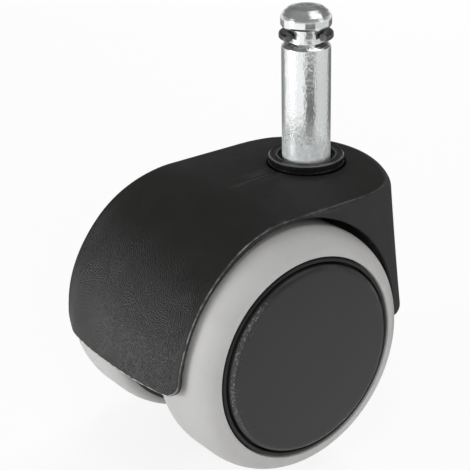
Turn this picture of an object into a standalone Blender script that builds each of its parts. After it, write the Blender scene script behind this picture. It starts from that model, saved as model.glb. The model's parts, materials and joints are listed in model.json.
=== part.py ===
"""Twin-wheel chair caster with a grip-ring stem.

Frame: the origin is on the swivel axis, level with the collar's top face, where the chair's socket
ends. +Z runs up the stem, +X points forward and the axle lies along Y, behind the stem (it trails).
All sizes are in metres.
"""

import math

import bmesh
import bpy
from mathutils import Matrix

# Clearances
FIT_GAP = 0.0003
FENDER_CLEARANCE = 0.0009
ARCH_CLEARANCE = 0.0013
WHEEL_SIDE_CLEARANCE = 0.0014

# Stem
STEM_RADIUS = 0.0049
STEM_LENGTH = 0.0305
STEM_HEAD_OVERHANG = 0.00015
STEM_HEAD_HEIGHT = 0.0040
STEM_DOME_HEIGHT = 0.0020
STEM_DOME_FLAT = 0.0022
STEM_GROOVE_HEIGHT = 0.0034
STEM_GROOVE_DEPTH = 0.0017
STEM_GROOVE_CHAMFER = 0.0005
STEM_SEAT_DEPTH = 0.0055
STEM_SHOULDER = 0.0015
SPIGOT_RECESS = 0.0052
SPIGOT_GROOVE_DEPTH = 0.0008
GRIP_WIRE_RADIUS = 0.0009
GRIP_RING_CLEARANCE = 0.0004
GRIP_GAP_ANGLE = math.radians(86)
GRIP_GAP_FACING = math.radians(230.4)

# Bush, washer and ring that hold the stem in the hood
COLLAR_WIDTH = 0.00195
COLLAR_HEIGHT = 0.0014
COLLAR_MOUTH_GAP = 0.0008
COLLAR_MOUTH_DEPTH = 0.0009
COLLAR_EDGE = 0.0003
BUSH_WALL = 0.0008
THRUST_WASHER_THICKNESS = 0.0007
RETAINING_RING_THICKNESS = 0.0008

# Wheels
WHEEL_RADIUS = 0.0250
TREAD_WIDTH = 0.0163
TREAD_THICKNESS = 0.0045
TREAD_SHOULDER_WIDTH = 0.0065
TREAD_SHOULDER_HEIGHT = 0.0043
TREAD_INNER_SHOULDER_WIDTH = 0.0045
TREAD_INNER_SHOULDER_HEIGHT = 0.0021
RIM_THICKNESS = 0.0020
RIM_LIP_THICKNESS = 0.0008
RIM_FLANGE_THICKNESS = 0.0010
RIM_FLANGE_HEIGHT = 0.0024
DISC_THICKNESS = 0.0020
DISC_RECESS = 0.0020
HUB_WALL = 0.0026
HUB_END_ROOM = 0.00665
CAP_PROUD = 0.00095
CAP_THICKNESS = 0.0018
CAP_DISC_DEPTH = 0.0021
CAP_EDGE_ROUND = 0.0008
CAP_PLUG_WALL = 0.0015
CAP_PLUG_DEPTH = 0.0032

# Axle and its fittings
AXLE_RADIUS = 0.0030
AXLE_TRAIL = 0.0200
AXLE_END_CHAMFER = 0.0004
AXLE_END_LENGTH = 0.0008
HUB_BUSH_WALL = 0.0014
HUB_BUSH_FLANGE_WIDTH = 0.0017
HUB_BUSH_FLANGE_THICKNESS = 0.0008
WASHER_WIDTH = 0.0030
WASHER_THICKNESS = 0.0008
CLIP_WIDTH = 0.0022
CLIP_THICKNESS = 0.0010
CLIP_GROOVE_DEPTH = 0.0006

# Hood
FENDER_THICKNESS = 0.0021
FENDER_EDGE_THICKNESS = 0.0010
FENDER_INSET = 0.0054
SKIRT_TAPER = 0.0004
SKIRT_BELOW_AXLE = 0.0015
SKIRT_STRAIGHT_ANGLE = math.radians(11.5)
NOSE_LENGTH = 0.0156
NOSE_FLARE = 0.0006
NOSE_SIDE_FLARE = 0.0014
NOSE_CURVE_TOP = 0.0180
NOSE_CURVE_BOTTOM = 0.0122
NOSE_FILLET_HEIGHT = 0.0048
NOSE_FILLET_REACH = 0.0045
HOOD_WALL = 0.0020
WEB_THICKNESS = 0.0050
AXLE_BOSS_WALL = 0.0029
AXLE_BOSS_INSET = 0.0026
SOCKET_WALL = 0.0010
SOCKET_HEAD_WALL = 0.0016
SOCKET_FLOOR = 0.0012

# Facets of the round pieces
WHEEL_STEPS = 40
ARCH_STEPS = 80
STEM_STEPS = 32
SMALL_STEPS = 24
FENDER_STEPS = 20
FENDER_COLUMNS = 12
NOSE_STEPS = 28
CROWN_RINGS = 4
SHOULDER_STEPS = 6

# Places that follow from the sizes
ARCH_RADIUS = WHEEL_RADIUS + ARCH_CLEARANCE
FENDER_BORE = WHEEL_RADIUS + FENDER_CLEARANCE
FENDER_RADIUS = FENDER_BORE + FENDER_THICKNESS
FENDER_EDGE_RADIUS = FENDER_BORE + FENDER_EDGE_THICKNESS
HOOD_TOP = -(COLLAR_HEIGHT + FIT_GAP)
AXLE_X = -AXLE_TRAIL
AXLE_Z = HOOD_TOP - FENDER_RADIUS
HOOD_BOTTOM = AXLE_Z - SKIRT_BELOW_AXLE
CROWN_DROP = FENDER_RADIUS - FENDER_EDGE_RADIUS

STEM_HEAD_RADIUS = STEM_RADIUS + STEM_HEAD_OVERHANG
STEM_NECK_RADIUS = STEM_RADIUS - STEM_GROOVE_DEPTH
GRIP_RING_RADIUS = STEM_NECK_RADIUS + GRIP_RING_CLEARANCE + GRIP_WIRE_RADIUS
SPIGOT_RADIUS = STEM_RADIUS - STEM_SHOULDER
SPIGOT_GROOVE_RADIUS = SPIGOT_RADIUS - SPIGOT_GROOVE_DEPTH
COLLAR_MOUTH_RADIUS = STEM_RADIUS + COLLAR_MOUTH_GAP
COLLAR_RADIUS = COLLAR_MOUTH_RADIUS + COLLAR_WIDTH
BUSH_BORE = STEM_RADIUS + FIT_GAP
BUSH_HEAD_RADIUS = BUSH_BORE + BUSH_WALL
BUSH_TAIL_BORE = SPIGOT_RADIUS + FIT_GAP
BUSH_TAIL_RADIUS = BUSH_TAIL_BORE + BUSH_WALL
THRUST_TOP = -STEM_SEAT_DEPTH - FIT_GAP
BUSH_LEDGE = THRUST_TOP - THRUST_WASHER_THICKNESS - FIT_GAP
BUSH_STEP = BUSH_LEDGE - BUSH_WALL
SOCKET_STEP = BUSH_STEP - FIT_GAP
SOCKET_HEAD_BORE = BUSH_HEAD_RADIUS + FIT_GAP
SOCKET_TAIL_BORE = BUSH_TAIL_RADIUS + FIT_GAP
SOCKET_TAIL_RADIUS = SOCKET_TAIL_BORE + SOCKET_WALL
SPIGOT_END = HOOD_BOTTOM + SPIGOT_RECESS
RING_BOTTOM = SPIGOT_END + RETAINING_RING_THICKNESS
RING_TOP = RING_BOTTOM + RETAINING_RING_THICKNESS
SOCKET_BOTTOM = RING_TOP + FIT_GAP

WHEEL_INNER_FACE = SOCKET_TAIL_RADIUS + WHEEL_SIDE_CLEARANCE
TREAD_INNER_FACE = WHEEL_INNER_FACE + RIM_FLANGE_THICKNESS + FIT_GAP
WHEEL_OUTER_FACE = TREAD_INNER_FACE + TREAD_WIDTH
BAY_INNER_FACE = WHEEL_INNER_FACE - FIT_GAP
FENDER_HALF_WIDTH = WHEEL_OUTER_FACE - FENDER_INSET
SKIRT_HALF_WIDTH = FENDER_HALF_WIDTH - SKIRT_TAPER
NOSE_HALF_WIDTH_BOTTOM = FENDER_HALF_WIDTH + NOSE_SIDE_FLARE
AXLE_BOSS_HALF_LENGTH = WHEEL_INNER_FACE - AXLE_BOSS_INSET
RIM_RADIUS = WHEEL_RADIUS - TREAD_THICKNESS - FIT_GAP
RIM_BORE = RIM_RADIUS - RIM_THICKNESS
RIM_FLANGE_RADIUS = RIM_RADIUS + RIM_FLANGE_HEIGHT
RIM_FLANGE_FACE = WHEEL_INNER_FACE + RIM_FLANGE_THICKNESS
DISC_INNER_FACE = WHEEL_INNER_FACE + DISC_RECESS
DISC_OUTER_FACE = DISC_INNER_FACE + DISC_THICKNESS
CAP_FACE = WHEEL_OUTER_FACE + CAP_PROUD
CAP_BACK = CAP_FACE - CAP_THICKNESS
CAP_RADIUS = RIM_RADIUS - RIM_LIP_THICKNESS - FIT_GAP
CAP_SEAT = CAP_FACE - CAP_DISC_DEPTH
CAP_PLUG_RADIUS = RIM_BORE - FIT_GAP
HUB_BUSH_BORE = AXLE_RADIUS + FIT_GAP
HUB_BUSH_RADIUS = HUB_BUSH_BORE + HUB_BUSH_WALL
HUB_BUSH_FLANGE_RADIUS = HUB_BUSH_RADIUS + HUB_BUSH_FLANGE_WIDTH
HUB_BORE = HUB_BUSH_RADIUS + FIT_GAP
HUB_RADIUS = HUB_BORE + HUB_WALL
HUB_OUTER_FACE = CAP_BACK - HUB_END_ROOM
WASHER_RADIUS = AXLE_RADIUS + WASHER_WIDTH
INNER_WASHER_FACE = AXLE_BOSS_HALF_LENGTH + FIT_GAP
HUB_BUSH_FACE = INNER_WASHER_FACE + WASHER_THICKNESS + FIT_GAP
HUB_INNER_FACE = HUB_BUSH_FACE + HUB_BUSH_FLANGE_THICKNESS + FIT_GAP
OUTER_WASHER_FACE = HUB_OUTER_FACE + FIT_GAP
CLIP_RADIUS = AXLE_RADIUS + CLIP_WIDTH
CLIP_FACE = OUTER_WASHER_FACE + WASHER_THICKNESS + FIT_GAP
CLIP_GROOVE_RADIUS = AXLE_RADIUS - CLIP_GROOVE_DEPTH
CLIP_GROOVE_END = CLIP_FACE + CLIP_THICKNESS + FIT_GAP
AXLE_END = CLIP_GROOVE_END + AXLE_END_LENGTH

MERGE_DISTANCE = 0.00001
CUT_EXTRA = 0.010

SIDES = {"left": 1, "right": -1}


def clear_scene():
    for old_object in list(bpy.data.objects):
        bpy.data.objects.remove(old_object, do_unlink=True)


def new_collection(name):
    collection = bpy.data.collections.new(name)
    bpy.context.scene.collection.children.link(collection)
    return collection


def new_material(name, colour, roughness, metallic=0.0):
    material = bpy.data.materials.new(name)
    material.use_nodes = True
    shader = material.node_tree.nodes["Principled BSDF"]
    shader.inputs["Base Color"].default_value = (*colour, 1.0)
    shader.inputs["Roughness"].default_value = roughness
    shader.inputs["Metallic"].default_value = metallic
    return material


def new_empty(name, location, rotation=(0.0, 0.0, 0.0)):
    empty = bpy.data.objects.new(name, None)
    empty.location = location
    empty.rotation_euler = rotation
    parts.objects.link(empty)
    return empty


def add_part(name, data, material, parent):
    part = bpy.data.objects.new(name, data)
    part.data.materials.append(material)
    part.parent = parent
    parts.objects.link(part)
    return part


def add_cutter(name, mesh):
    """A helper solid that a Boolean reads. It is no piece of the caster."""
    cutter = bpy.data.objects.new(name, mesh)
    cutter.hide_render = True
    cutter.display_type = "WIRE"
    cutters.objects.link(cutter)
    return cutter


def smooth(mesh):
    mesh.shade_smooth()
    mesh.set_sharp_from_angle(angle=math.radians(30))


def mesh_from(name, shape):
    bmesh.ops.recalc_face_normals(shape, faces=shape.faces)
    mesh = bpy.data.meshes.new(name)
    shape.to_mesh(mesh)
    shape.free()
    smooth(mesh)
    return mesh


def arc(centre, radii, start, end, steps):
    """Points on an ellipse's arc, from one angle to another, both ends included."""
    angles = [start + (end - start) * step / steps for step in range(steps + 1)]
    return [
        (centre[0] + radii[0] * math.cos(angle), centre[1] + radii[1] * math.sin(angle))
        for angle in angles
    ]


def turned(name, profile, material, parent, steps, closed):
    """A turned piece: (radius, height) points that run down its outer side, spun about local Z."""
    mesh = bpy.data.meshes.new(name)
    points = [(radius, 0.0, height) for radius, height in profile]
    edges = [(index, index + 1) for index in range(len(points) - 1)]
    if closed:
        edges.append((len(points) - 1, 0))
    mesh.from_pydata(points, edges, [])
    part = add_part(name, mesh, material, parent)
    screw = part.modifiers.new("turn", "SCREW")
    screw.axis = "Z"
    screw.angle = math.tau
    screw.steps = steps
    screw.render_steps = steps
    screw.use_merge_vertices = True
    screw.merge_threshold = MERGE_DISTANCE
    screw.use_smooth_shade = True
    return part


def washer(name, bore, radius, low, high, material, parent):
    profile = [(radius, high), (radius, low), (bore, low), (bore, high)]
    return turned(name, profile, material, parent, SMALL_STEPS, closed=True)


# Stem


def stem_profile():
    head_low = STEM_LENGTH - STEM_HEAD_HEIGHT
    groove_low = head_low - STEM_GROOVE_HEIGHT
    chamfer = STEM_GROOVE_CHAMFER
    ring_groove_low = RING_BOTTOM - FIT_GAP
    ring_groove_high = RING_TOP + FIT_GAP
    profile = [(0.0, STEM_LENGTH)]
    profile += arc(
        (STEM_DOME_FLAT, STEM_LENGTH - STEM_DOME_HEIGHT),
        (STEM_HEAD_RADIUS - STEM_DOME_FLAT, STEM_DOME_HEIGHT),
        math.pi / 2,
        0.0,
        SHOULDER_STEPS,
    )
    profile += [
        (STEM_HEAD_RADIUS, head_low + chamfer),
        (STEM_HEAD_RADIUS - chamfer / 2, head_low),
        (STEM_NECK_RADIUS, head_low),
        (STEM_NECK_RADIUS, groove_low),
        (STEM_RADIUS - chamfer, groove_low),
        (STEM_RADIUS, groove_low - chamfer),
        (STEM_RADIUS, -STEM_SEAT_DEPTH),
        (SPIGOT_RADIUS, -STEM_SEAT_DEPTH),
        (SPIGOT_RADIUS, ring_groove_high),
        (SPIGOT_GROOVE_RADIUS, ring_groove_high),
        (SPIGOT_GROOVE_RADIUS, ring_groove_low),
        (SPIGOT_RADIUS, ring_groove_low),
        (SPIGOT_GROOVE_RADIUS, SPIGOT_END),
        (0.0, SPIGOT_END),
    ]
    return profile


def make_grip_ring(parent):
    """A split ring of round wire that sits loosely in the stem's neck groove."""
    height = STEM_LENGTH - STEM_HEAD_HEIGHT - STEM_GROOVE_HEIGHT / 2
    start = GRIP_GAP_FACING + GRIP_GAP_ANGLE / 2
    end = GRIP_GAP_FACING + math.tau - GRIP_GAP_ANGLE / 2
    route = arc((0.0, 0.0), (GRIP_RING_RADIUS, GRIP_RING_RADIUS), start, end, SMALL_STEPS)
    wire = bpy.data.curves.new("grip_ring", "CURVE")
    wire.dimensions = "3D"
    wire.bevel_depth = GRIP_WIRE_RADIUS
    wire.bevel_resolution = 2
    wire.use_fill_caps = True
    spline = wire.splines.new("POLY")
    spline.points.add(len(route) - 1)
    for point, (x, y) in zip(spline.points, route):
        point.co = (x, y, height, 1.0)
    return add_part("grip_ring", wire, spring_steel, parent)


def bush_profile():
    """The flanged bush, whose inside steps down where the stem's shoulder rests."""
    tail_low = SOCKET_BOTTOM + FIT_GAP
    return [
        (COLLAR_RADIUS - COLLAR_EDGE, 0.0),
        (COLLAR_RADIUS, -COLLAR_EDGE),
        (COLLAR_RADIUS, -COLLAR_HEIGHT),
        (BUSH_HEAD_RADIUS, -COLLAR_HEIGHT),
        (BUSH_HEAD_RADIUS, BUSH_STEP),
        (BUSH_TAIL_RADIUS, BUSH_STEP),
        (BUSH_TAIL_RADIUS, tail_low),
        (BUSH_TAIL_BORE, tail_low),
        (BUSH_TAIL_BORE, BUSH_LEDGE),
        (BUSH_BORE, BUSH_LEDGE),
        (BUSH_BORE, -COLLAR_MOUTH_DEPTH),
        (COLLAR_MOUTH_RADIUS, -COLLAR_MOUTH_DEPTH),
        (COLLAR_MOUTH_RADIUS, 0.0),
    ]


def make_stem():
    swivel = new_empty("swivel_axis", (0.0, 0.0, 0.0))
    turned("stem_pin", stem_profile(), zinc_steel, swivel, STEM_STEPS, closed=False)
    make_grip_ring(swivel)
    turned("stem_bush", bush_profile(), bush_plastic, swivel, STEM_STEPS, closed=True)
    washer(
        "thrust_washer",
        SPIGOT_RADIUS + FIT_GAP,
        BUSH_BORE - FIT_GAP,
        THRUST_TOP - THRUST_WASHER_THICKNESS,
        THRUST_TOP,
        zinc_steel,
        swivel,
    )
    washer(
        "stem_retaining_ring",
        SPIGOT_GROOVE_RADIUS + FIT_GAP,
        BUSH_TAIL_RADIUS,
        RING_BOTTOM,
        RING_TOP,
        spring_steel,
        swivel,
    )


# Wheels


def tread_profile():
    """The tyre's section: a crown that falls away in a long shoulder on each side."""
    bore = WHEEL_RADIUS - TREAD_THICKNESS
    outer_shoulder_top = WHEEL_OUTER_FACE - TREAD_SHOULDER_WIDTH
    inner_shoulder_top = TREAD_INNER_FACE + TREAD_INNER_SHOULDER_WIDTH
    profile = [(bore, TREAD_INNER_FACE), (bore, WHEEL_OUTER_FACE)]
    profile += arc(
        (WHEEL_RADIUS - TREAD_SHOULDER_HEIGHT, outer_shoulder_top),
        (TREAD_SHOULDER_HEIGHT, TREAD_SHOULDER_WIDTH),
        math.pi / 2,
        0.0,
        SHOULDER_STEPS,
    )
    profile += arc(
        (WHEEL_RADIUS - TREAD_INNER_SHOULDER_HEIGHT, inner_shoulder_top),
        (TREAD_INNER_SHOULDER_HEIGHT, TREAD_INNER_SHOULDER_WIDTH),
        0.0,
        -math.pi / 2,
        SHOULDER_STEPS,
    )
    return profile


def core_profile():
    """The wheel centre: a hub and a flanged rim joined by a disc, with a stepped seat for the cap."""
    seat = CAP_SEAT - FIT_GAP
    lip_bore = RIM_RADIUS - RIM_LIP_THICKNESS
    return [
        (RIM_RADIUS, WHEEL_OUTER_FACE),
        (RIM_RADIUS, RIM_FLANGE_FACE),
        (RIM_FLANGE_RADIUS, RIM_FLANGE_FACE),
        (RIM_FLANGE_RADIUS, WHEEL_INNER_FACE),
        (RIM_BORE, WHEEL_INNER_FACE),
        (RIM_BORE, DISC_INNER_FACE),
        (HUB_RADIUS, DISC_INNER_FACE),
        (HUB_RADIUS, HUB_INNER_FACE),
        (HUB_BORE, HUB_INNER_FACE),
        (HUB_BORE, HUB_OUTER_FACE),
        (HUB_RADIUS, HUB_OUTER_FACE),
        (HUB_RADIUS, DISC_OUTER_FACE),
        (RIM_BORE, DISC_OUTER_FACE),
        (RIM_BORE, seat),
        (lip_bore, seat),
        (lip_bore, WHEEL_OUTER_FACE),
    ]


def cap_profile():
    """The cover disc, with a ring behind it that plugs into the rim."""
    plug_low = CAP_SEAT - CAP_PLUG_DEPTH
    plug_bore = CAP_PLUG_RADIUS - CAP_PLUG_WALL
    profile = [(0.0, CAP_FACE)]
    profile += arc(
        (CAP_RADIUS - CAP_EDGE_ROUND, CAP_FACE - CAP_EDGE_ROUND),
        (CAP_EDGE_ROUND, CAP_EDGE_ROUND),
        math.pi / 2,
        0.0,
        SHOULDER_STEPS // 2,
    )
    profile += [
        (CAP_RADIUS, CAP_SEAT),
        (CAP_PLUG_RADIUS, CAP_SEAT),
        (CAP_PLUG_RADIUS, plug_low),
        (plug_bore, plug_low),
        (plug_bore, CAP_BACK),
        (0.0, CAP_BACK),
    ]
    return profile


def hub_bush_profile():
    return [
        (HUB_BUSH_RADIUS, HUB_OUTER_FACE),
        (HUB_BUSH_RADIUS, HUB_BUSH_FACE + HUB_BUSH_FLANGE_THICKNESS),
        (HUB_BUSH_FLANGE_RADIUS, HUB_BUSH_FACE + HUB_BUSH_FLANGE_THICKNESS),
        (HUB_BUSH_FLANGE_RADIUS, HUB_BUSH_FACE),
        (HUB_BUSH_BORE, HUB_BUSH_FACE),
        (HUB_BUSH_BORE, HUB_OUTER_FACE),
    ]


def make_wheel(side, sign):
    """One wheel and its fittings. Heights on the turned profiles are distances from the mid-plane."""
    axis = new_empty(f"wheel_axis_{side}", (AXLE_X, 0.0, AXLE_Z), (-sign * math.pi / 2, 0.0, 0.0))
    turned(f"tread_{side}", tread_profile(), grey_tyre, axis, WHEEL_STEPS, closed=True)
    turned(f"wheel_core_{side}", core_profile(), wheel_plastic, axis, WHEEL_STEPS, closed=True)
    turned(f"wheel_cap_{side}", cap_profile(), cap_plastic, axis, WHEEL_STEPS, closed=False)
    turned(f"hub_bush_{side}", hub_bush_profile(), bush_plastic, axis, SMALL_STEPS, closed=True)
    for name, low in (("inner_washer", INNER_WASHER_FACE), ("outer_washer", OUTER_WASHER_FACE)):
        high = low + WASHER_THICKNESS
        washer(f"{name}_{side}", HUB_BUSH_BORE, WASHER_RADIUS, low, high, zinc_steel, axis)
    clip_bore = CLIP_GROOVE_RADIUS + FIT_GAP
    clip_high = CLIP_FACE + CLIP_THICKNESS
    washer(f"axle_clip_{side}", clip_bore, CLIP_RADIUS, CLIP_FACE, clip_high, spring_steel, axis)


def make_axle():
    """The cross pin, with a groove near each end for its clip."""
    axis = new_empty("axle_axis", (AXLE_X, 0.0, AXLE_Z), (-math.pi / 2, 0.0, 0.0))
    upper_half = [
        (0.0, AXLE_END),
        (AXLE_RADIUS - AXLE_END_CHAMFER, AXLE_END),
        (AXLE_RADIUS, AXLE_END - AXLE_END_CHAMFER),
        (AXLE_RADIUS, CLIP_GROOVE_END),
        (CLIP_GROOVE_RADIUS, CLIP_GROOVE_END),
        (CLIP_GROOVE_RADIUS, CLIP_FACE - FIT_GAP),
        (AXLE_RADIUS, CLIP_FACE - FIT_GAP),
    ]
    lower_half = [(radius, -height) for radius, height in reversed(upper_half)]
    turned("axle", upper_half + lower_half, zinc_steel, axis, SMALL_STEPS, closed=False)


# Hood


def crown_drop_at(y):
    """How far the hood's crowned outside lies below its middle, at a distance y from it."""
    return CROWN_DROP * (y / FENDER_HALF_WIDTH) ** 2


def fender_section():
    """The fender's section as (y, radius about the axle): a crowned outside over a flat inside."""
    columns = [
        FENDER_HALF_WIDTH * (2 * column / FENDER_COLUMNS - 1) for column in range(FENDER_COLUMNS + 1)
    ]
    outer = [(y, FENDER_RADIUS - crown_drop_at(y)) for y in columns]
    return outer + [(FENDER_HALF_WIDTH, FENDER_BORE), (-FENDER_HALF_WIDTH, FENDER_BORE)]


def fender_mesh():
    """The fender: its section spun back about the axle from the top, then run down as a skirt."""
    shape = bmesh.new()
    section = [shape.verts.new((AXLE_X, y, AXLE_Z + radius)) for y, radius in fender_section()]
    face = shape.faces.new(section)
    spun = bmesh.ops.spin(
        shape,
        geom=[face, *face.edges, *face.verts],
        cent=(AXLE_X, 0.0, AXLE_Z),
        axis=(0.0, 1.0, 0.0),
        angle=-(math.pi / 2 - SKIRT_STRAIGHT_ANGLE),
        steps=FENDER_STEPS,
        use_duplicate=False,
    )
    end_face = [item for item in spun["geom_last"] if isinstance(item, bmesh.types.BMFace)]
    skirt = bmesh.ops.extrude_face_region(shape, geom=end_face)
    bmesh.ops.delete(shape, geom=end_face, context="FACES_ONLY")
    for point in [item for item in skirt["geom"] if isinstance(item, bmesh.types.BMVert)]:
        flare = math.tan(SKIRT_STRAIGHT_ANGLE) * (1 - (point.co.y / FENDER_HALF_WIDTH) ** 2)
        point.co.x -= (point.co.z - HOOD_BOTTOM) * flare
        point.co.z = HOOD_BOTTOM
    for point in shape.verts:
        back = math.atan2(AXLE_X - point.co.x, point.co.z - AXLE_Z) / (math.pi / 2)
        point.co.y *= 1 + back * (SKIRT_HALF_WIDTH / FENDER_HALF_WIDTH - 1)
    return mesh_from("fender", shape)


def nose_outline(half_width, curve_length, length, rear):
    """A plan outline of the nose: straight sides from the rear, then half an ellipse to the front."""
    start = length - curve_length
    front = arc((start, 0.0), (curve_length, half_width), -math.pi / 2, math.pi / 2, NOSE_STEPS)
    return [(rear, -half_width), *front, (rear, half_width)]


def loft(name, levels):
    """A closed solid through plan outlines of equal point counts, given as (height, outline)."""
    shape = bmesh.new()
    rings = [[shape.verts.new((x, y, height)) for x, y in outline] for height, outline in levels]
    for lower, upper in zip(rings, rings[1:]):
        for index, corner in enumerate(lower):
            following = (index + 1) % len(lower)
            shape.faces.new((corner, lower[following], upper[following], upper[index]))
    shape.faces.new(rings[0])
    shape.faces.new(rings[-1])
    return mesh_from(name, shape)


def nose_levels():
    """Plan outlines from the hood's bottom edge, over the front's rounded edge, to the crowned top."""
    fillet_low = HOOD_TOP - NOSE_FILLET_HEIGHT
    crease = HOOD_TOP - CROWN_DROP
    bottom = nose_outline(NOSE_HALF_WIDTH_BOTTOM, NOSE_CURVE_BOTTOM, NOSE_LENGTH + NOSE_FLARE, AXLE_X)
    levels = [(HOOD_BOTTOM, bottom)]
    widths = [1.0] * 3 + [1 - (ring + 1) / (CROWN_RINGS + 1) for ring in range(CROWN_RINGS)]
    heights = [fillet_low, (fillet_low + crease) / 2]
    heights += [HOOD_TOP - CROWN_DROP * width**2 for width in widths[2:]]
    for width, height in zip(widths, heights):
        rise = (height - fillet_low) / NOSE_FILLET_HEIGHT
        reach = NOSE_FILLET_REACH * (1 - math.sqrt(1 - rise**2))
        half_width = FENDER_HALF_WIDTH * width
        outline = nose_outline(half_width, NOSE_CURVE_TOP - reach, NOSE_LENGTH - reach, AXLE_X)
        levels.append((height, outline))
    return levels


def nose_cavity_levels():
    """The hollow under the nose, one wall inside its sides and open below."""
    wall = HOOD_WALL
    low = HOOD_BOTTOM - CUT_EXTRA
    high = HOOD_TOP - CROWN_DROP - wall
    rear = AXLE_X - wall
    bottom_length = NOSE_LENGTH + NOSE_FLARE - wall
    bottom = nose_outline(NOSE_HALF_WIDTH_BOTTOM - wall, NOSE_CURVE_BOTTOM - wall, bottom_length, rear)
    top_length = NOSE_LENGTH - NOSE_FILLET_REACH / 2 - wall
    top_curve = NOSE_CURVE_TOP - NOSE_FILLET_REACH / 2 - wall
    top = nose_outline(FENDER_HALF_WIDTH - wall, top_curve, top_length, rear)
    return [(low, bottom), (HOOD_BOTTOM, bottom), (high, top)]


def cylinder_mesh(name, radius, low, high, matrix, steps):
    """A plain cylinder between two heights on the matrix's Z axis."""
    shape = bmesh.new()
    middle = Matrix.Translation((0.0, 0.0, (low + high) / 2))
    bmesh.ops.create_cone(
        shape,
        cap_ends=True,
        segments=steps,
        radius1=radius,
        radius2=radius,
        depth=high - low,
        matrix=matrix @ middle,
    )
    return mesh_from(name, shape)


def web_outline():
    """The centre web seen from the side: a sector under the fender, level with the hood's bottom."""
    radius = FENDER_BORE + FENDER_THICKNESS / 2
    rear_end = math.pi - SKIRT_STRAIGHT_ANGLE
    sector = arc((AXLE_X, AXLE_Z), (radius, radius), 0.0, rear_end, WHEEL_STEPS // 2)
    return [*sector, (sector[-1][0], HOOD_BOTTOM), (sector[0][0], HOOD_BOTTOM)]


def web_mesh():
    shape = bmesh.new()
    half = WEB_THICKNESS / 2
    corners = [shape.verts.new((x, -half, z)) for x, z in web_outline()]
    face = shape.faces.new(corners)
    side = bmesh.ops.extrude_face_region(shape, geom=[face])
    moved = [item for item in side["geom"] if isinstance(item, bmesh.types.BMVert)]
    bmesh.ops.translate(shape, verts=moved, vec=(0.0, WEB_THICKNESS, 0.0))
    return mesh_from("web", shape)


def hood_steps():
    """What is cut from the nose and joined to it, in order, as (operation, name, mesh)."""
    upright = Matrix.Identity(4)
    crosswise = Matrix.Translation((AXLE_X, 0.0, AXLE_Z)) @ Matrix.Rotation(-math.pi / 2, 4, "X")
    socket_top = HOOD_TOP - CROWN_DROP
    head_low = SOCKET_STEP - SOCKET_FLOOR
    head_radius = SOCKET_HEAD_BORE + SOCKET_HEAD_WALL
    boss_end = AXLE_BOSS_HALF_LENGTH
    boss_radius = AXLE_RADIUS + AXLE_BOSS_WALL
    bay_end = WHEEL_OUTER_FACE + CUT_EXTRA
    below = SOCKET_BOTTOM - CUT_EXTRA
    bored = AXLE_BOSS_HALF_LENGTH + CUT_EXTRA

    def round_step(operation, name, radius, low, high, matrix, steps=STEM_STEPS):
        return operation, name, cylinder_mesh(name, radius, low, high, matrix, steps)

    bays = [
        round_step("DIFFERENCE", "bay_left", ARCH_RADIUS, BAY_INNER_FACE, bay_end, crosswise, ARCH_STEPS),
        round_step("DIFFERENCE", "bay_right", ARCH_RADIUS, -bay_end, -BAY_INNER_FACE, crosswise, ARCH_STEPS),
    ]
    return [
        ("DIFFERENCE", "nose_cavity", loft("nose_cavity", nose_cavity_levels())),
        round_step("UNION", "socket_head", head_radius, head_low, socket_top, upright),
        *bays,
        ("UNION", "fender", fender_mesh()),
        ("UNION", "web", web_mesh()),
        round_step("UNION", "axle_boss", boss_radius, -boss_end, boss_end, crosswise),
        round_step("UNION", "socket_tail", SOCKET_TAIL_RADIUS, SOCKET_BOTTOM, socket_top, upright),
        round_step("DIFFERENCE", "head_bore", SOCKET_HEAD_BORE, SOCKET_STEP, CUT_EXTRA, upright),
        round_step("DIFFERENCE", "tail_bore", SOCKET_TAIL_BORE, below, CUT_EXTRA, upright),
        round_step("DIFFERENCE", "axle_bore", AXLE_RADIUS + FIT_GAP, -bored, bored, crosswise),
    ]


def make_hood():
    """The moulded hood: a hollow nose with wheel arches, the fender, centre web, socket and bosses."""
    hood = add_part("hood", loft("hood", nose_levels()), hood_plastic, None)
    for operation, name, mesh in hood_steps():
        boolean = hood.modifiers.new(name, "BOOLEAN")
        boolean.operation = operation
        boolean.solver = "EXACT"
        boolean.object = add_cutter(name, mesh)


clear_scene()
parts = new_collection("chair_caster")
cutters = new_collection("chair_caster_cutters")

zinc_steel = new_material("zinc_steel", (0.62, 0.64, 0.66), 0.28, 1.0)
spring_steel = new_material("spring_steel", (0.20, 0.20, 0.21), 0.35, 1.0)
hood_plastic = new_material("hood_plastic", (0.030, 0.030, 0.029), 0.48)
bush_plastic = new_material("bush_plastic", (0.022, 0.022, 0.022), 0.38)
wheel_plastic = new_material("wheel_plastic", (0.028, 0.028, 0.029), 0.45)
cap_plastic = new_material("cap_plastic", (0.045, 0.045, 0.046), 0.42)
grey_tyre = new_material("grey_tyre", (0.42, 0.42, 0.41), 0.50)

make_stem()
make_hood()
make_axle()
for wheel_side, wheel_sign in SIDES.items():
    make_wheel(wheel_side, wheel_sign)
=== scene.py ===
"""Looks of a twin-wheel chair caster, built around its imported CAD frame.

Shapes are written in millimetres, in the CAD frame, and go into the meshes in metres.
"""

import json
import math

import bpy
import numpy as np
from mathutils import Matrix, Vector

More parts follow.
